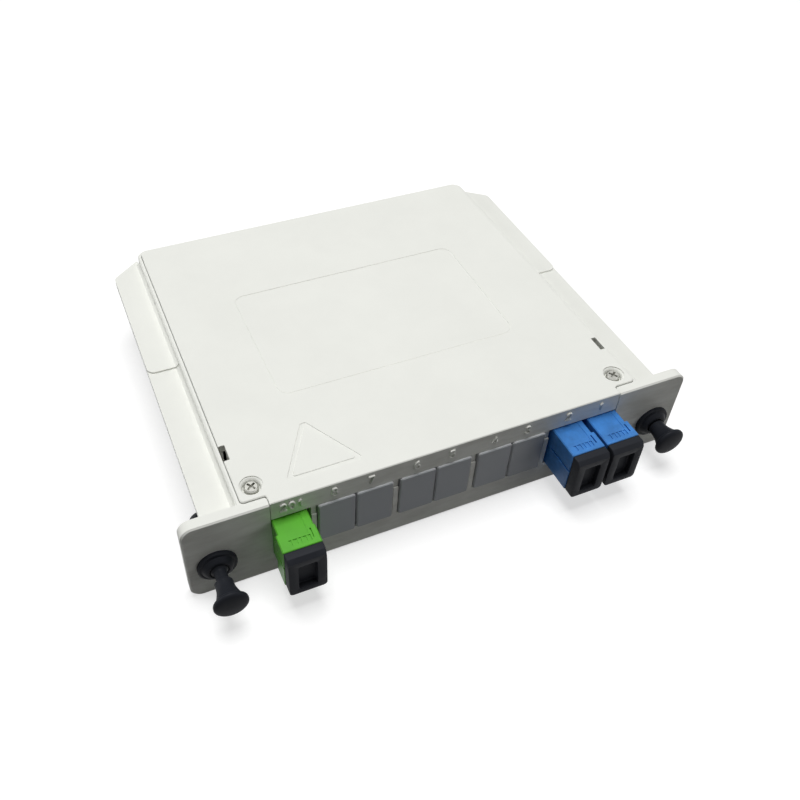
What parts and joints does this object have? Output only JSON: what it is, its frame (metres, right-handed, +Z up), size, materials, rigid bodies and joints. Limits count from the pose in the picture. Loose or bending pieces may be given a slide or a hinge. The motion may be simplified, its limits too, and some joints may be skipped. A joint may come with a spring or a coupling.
{
  "type": "plc fibre splitter",
  "caption": "White plug-in optical splitter module with a screwed cover, capped green and blue adapters beside blank plates in its front panel, and a black push-pull latch in each ear.",
  "frame": {"origin": "middle of the front panel's width, at the panel's back face, on the underside", "axes": "+X along the front panel to the right seen from the front, +Y into the module, +Z up"},
  "size_m": [0.13, 0.112, 0.025],
  "materials": {
    "housing_white": "fine spark-eroded off-white ABS",
    "blank_grey": "satin cool white ABS",
    "screw_steel": "zinc plated",
    "adapter_green": "satin PBT",
    "adapter_blue": "satin PBT",
    "holder_white": "natural PEI",
    "zirconia": "ground zirconia",
    "boot_white": "soft white",
    "fibre_white": "tight-buffer sheath",
    "cap_black": "matt soft plastic",
    "latch_nylon": "satin nylon",
    "module_steel": "plain tube",
    "boot_black": "matt"
  },
  "bodies": {
    "housing": {"base_tray": "housing_white", "top_cover": "housing_white", "cover_screw_left": "screw_steel", "cover_screw_right": "screw_steel", "blank_plate_3": "blank_grey", "blank_plate_4": "blank_grey", "blank_plate_5": "blank_grey", "blank_plate_6": "blank_grey", "blank_plate_7": "blank_grey", "blank_plate_8": "blank_grey", "input_adapter_front": "adapter_green", "input_adapter_rear": "adapter_green", "input_holder_front": "holder_white", "input_holder_rear": "holder_white", "input_sleeve": "zirconia", "input_ferrule": "zirconia", "input_connector": "adapter_green", "input_boot": "boot_white", "input_fibre": "fibre_white", "output_1_adapter_front": "adapter_blue", "output_1_adapter_rear": "adapter_blue", "output_1_holder_front": "holder_white", "output_1_holder_rear": "holder_white", "output_1_sleeve": "zirconia", "output_1_ferrule": "zirconia", "output_1_connector": "adapter_blue", "output_1_boot": "boot_white", "output_1_fibre": "fibre_white", "output_2_adapter_front": "adapter_blue", "output_2_adapter_rear": "adapter_blue", "output_2_holder_front": "holder_white", "output_2_holder_rear": "holder_white", "output_2_sleeve": "zirconia", "output_2_ferrule": "zirconia", "output_2_connector": "adapter_blue", "output_2_boot": "boot_white", "output_2_fibre": "fibre_white", "latch_grommet_left": "latch_nylon", "latch_grommet_right": "latch_nylon", "splitter_module": "module_steel", "splitter_boot_in": "boot_black", "splitter_boot_out": "boot_black"},
    "left_latch": {"latch_plunger_left": "latch_nylon"},
    "right_latch": {"latch_plunger_right": "latch_nylon"},
    "input_cap": {"input_dust_cap": "cap_black"},
    "output_1_cap": {"output_1_dust_cap": "cap_black"},
    "output_2_cap": {"output_2_dust_cap": "cap_black"}
  },
  "joints": [
    {"name": "left_latch_slide", "type": "slide", "parent": "housing", "child": "left_latch", "axis": [0, 1, 0], "range_m": [0, 0.005]},
    {"name": "right_latch_slide", "type": "slide", "parent": "housing", "child": "right_latch", "axis": [0, 1, 0], "range_m": [-0.0029, 0.0021]},
    {"name": "input_cap_pull", "type": "slide", "parent": "housing", "child": "input_cap", "axis": [0, -1, 0], "range_m": [0, 0.02]},
    {"name": "output_1_cap_pull", "type": "slide", "parent": "housing", "child": "output_1_cap", "axis": [0, -1, 0], "range_m": [0, 0.02]},
    {"name": "output_2_cap_pull", "type": "slide", "parent": "housing", "child": "output_2_cap", "axis": [0, -1, 0], "range_m": [0, 0.02]}
  ]
}
